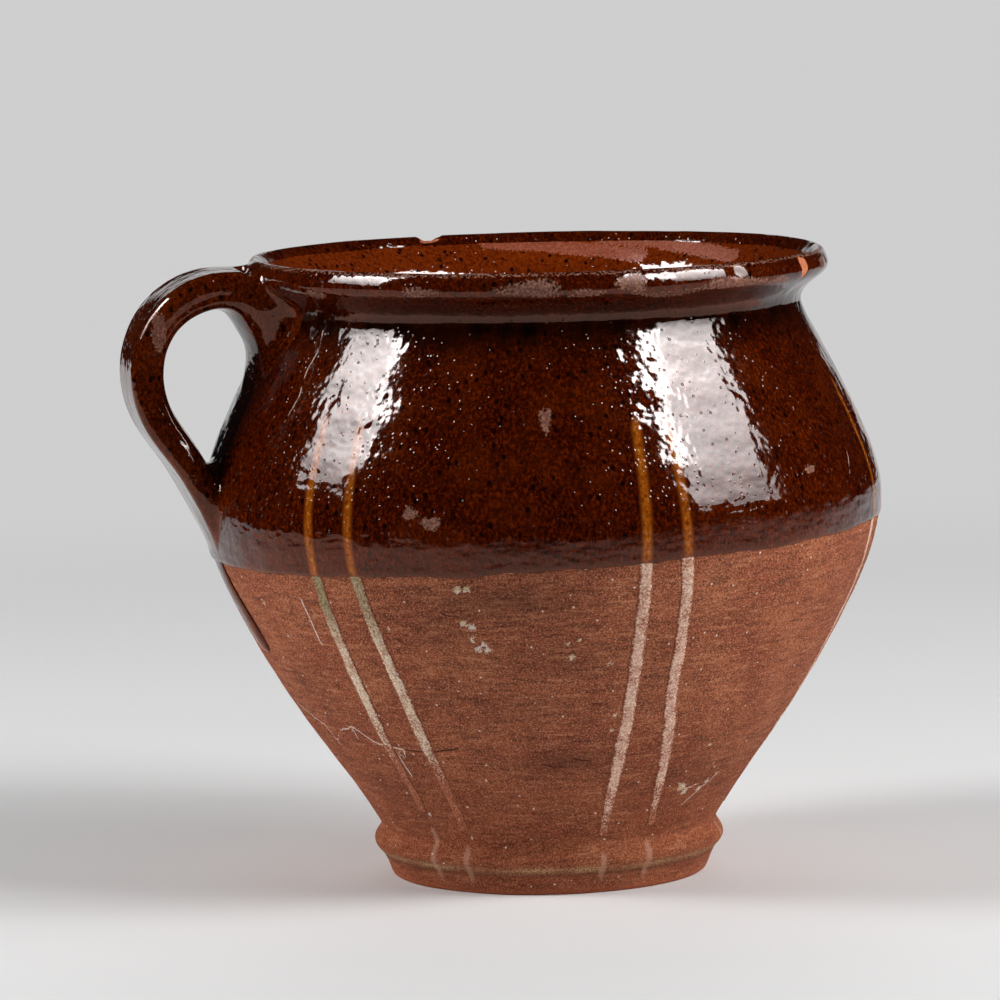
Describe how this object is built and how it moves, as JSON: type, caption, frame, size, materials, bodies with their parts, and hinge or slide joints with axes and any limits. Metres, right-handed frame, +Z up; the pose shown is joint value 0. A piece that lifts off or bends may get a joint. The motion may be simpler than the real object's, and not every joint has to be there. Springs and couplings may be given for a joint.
{
  "type": "jar",
  "caption": "Squat earthenware cooking jar with a flared rim, a pulled strap handle, brown glaze over its upper half and inside, and pairs of slip stripes.",
  "frame": {"origin": "centre of the flat underside, on the throwing axis", "axes": "+Z up along the throwing axis, handle towards -X"},
  "size_m": [0.2186, 0.1968, 0.18],
  "materials": {
    "earthenware": "matt, sandy, turned on the wheel",
    "lead_glaze": "glossy, speckled dark brown over red clay",
    "slip": "matt brushed white slip"
  },
  "bodies": {
    "root": {"thrown_body": "earthenware", "pulled_handle": "earthenware", "rim_joint_clay": "earthenware", "belly_joint_clay": "earthenware", "outer_glaze": "lead_glaze", "inner_glaze": "lead_glaze", "handle_glaze": "lead_glaze", "glaze_run": "lead_glaze", "slip_stripe_1_left": "slip", "slip_stripe_1_right": "slip", "slip_stripe_2_left": "slip", "slip_stripe_2_right": "slip", "slip_stripe_3_left": "slip", "slip_stripe_3_right": "slip", "slip_stripe_4_left": "slip", "slip_stripe_4_right": "slip", "slip_stripe_5_left": "slip", "slip_stripe_5_right": "slip", "slip_stripe_6_left": "slip", "slip_stripe_6_right": "slip"}
  },
  "joints": []
}
